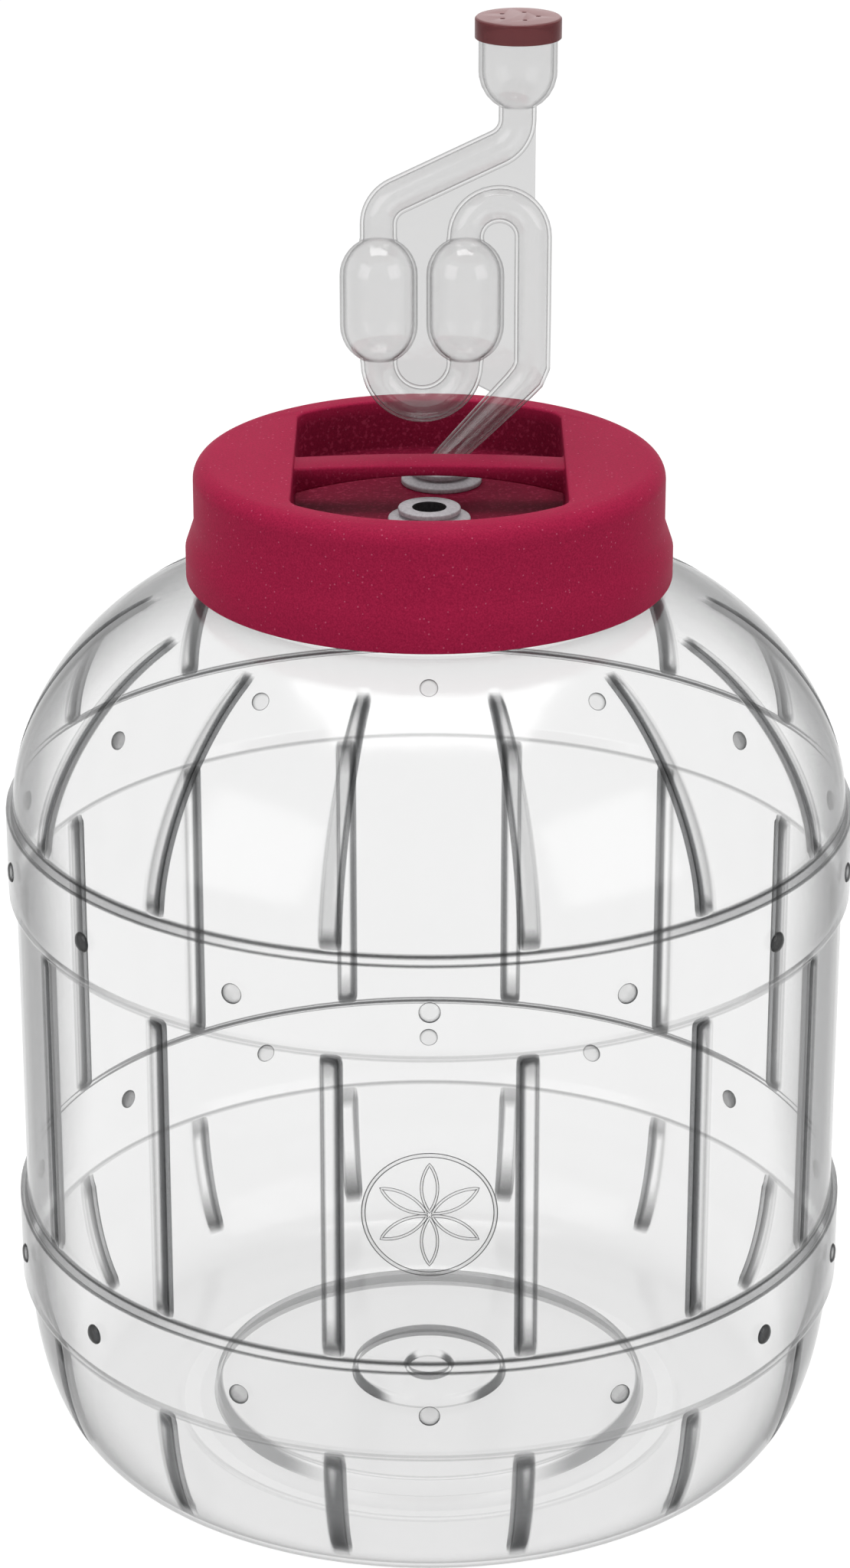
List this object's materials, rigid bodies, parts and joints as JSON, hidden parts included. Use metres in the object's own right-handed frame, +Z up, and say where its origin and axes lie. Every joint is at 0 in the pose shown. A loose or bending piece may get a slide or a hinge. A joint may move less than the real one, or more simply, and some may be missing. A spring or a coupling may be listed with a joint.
{
  "type": "fermentation jar with airlock",
  "caption": "Barrel-shaped clear jar with a screw lid, a free grommeted port and an S-shaped water airlock for fermenting food or drink.",
  "frame": {"origin": "middle of the foot ring, on the surface that the jar stands on", "axes": "+Z up along the jar's axis, -Y the front with the medallion, +X to the right seen from the front"},
  "size_m": [0.2312, 0.233, 0.3963],
  "materials": {
    "clear_pet": "clear blown PET",
    "crimson_plastic": "matte with fine speckle",
    "white_seal": "matte foam seal",
    "grey_rubber": "satin rubber",
    "clear_styrene": "clear moulded polystyrene",
    "cap_plastic": "translucent smoky red"
  },
  "bodies": {
    "jar": {"jar_body": "clear_pet"},
    "gasket": {"lid_gasket": "white_seal"},
    "lid": {"lid": "crimson_plastic", "grommet_front": "grey_rubber"},
    "rear_grommet": {"grommet_rear": "grey_rubber"},
    "airlock": {"airlock_front_half": "clear_styrene", "airlock_rear_half": "clear_styrene"},
    "cap": {"airlock_cap": "cap_plastic"}
  },
  "joints": [
    {"name": "lid_lift", "type": "slide", "parent": "jar", "child": "gasket", "axis": [0, 0, 1], "range_m": [0, 0.06]},
    {"name": "lid_turn", "type": "hinge", "parent": "gasket", "child": "lid", "pos_m": [0, 0, 0.279], "axis": [0, 0, 1], "range_deg": [0, 450]},
    {"name": "airlock_turn", "type": "hinge", "parent": "lid", "child": "rear_grommet", "pos_m": [0.0033, 0.022, 0.27], "axis": [0, 0, 1], "continuous": true},
    {"name": "airlock_pull", "type": "slide", "parent": "rear_grommet", "child": "airlock", "axis": [0, 0, 1], "range_m": [0, 0.05]},
    {"name": "cap_lift", "type": "slide", "parent": "airlock", "child": "cap", "axis": [0, 0, 1], "range_m": [0, 0.03]}
  ]
}
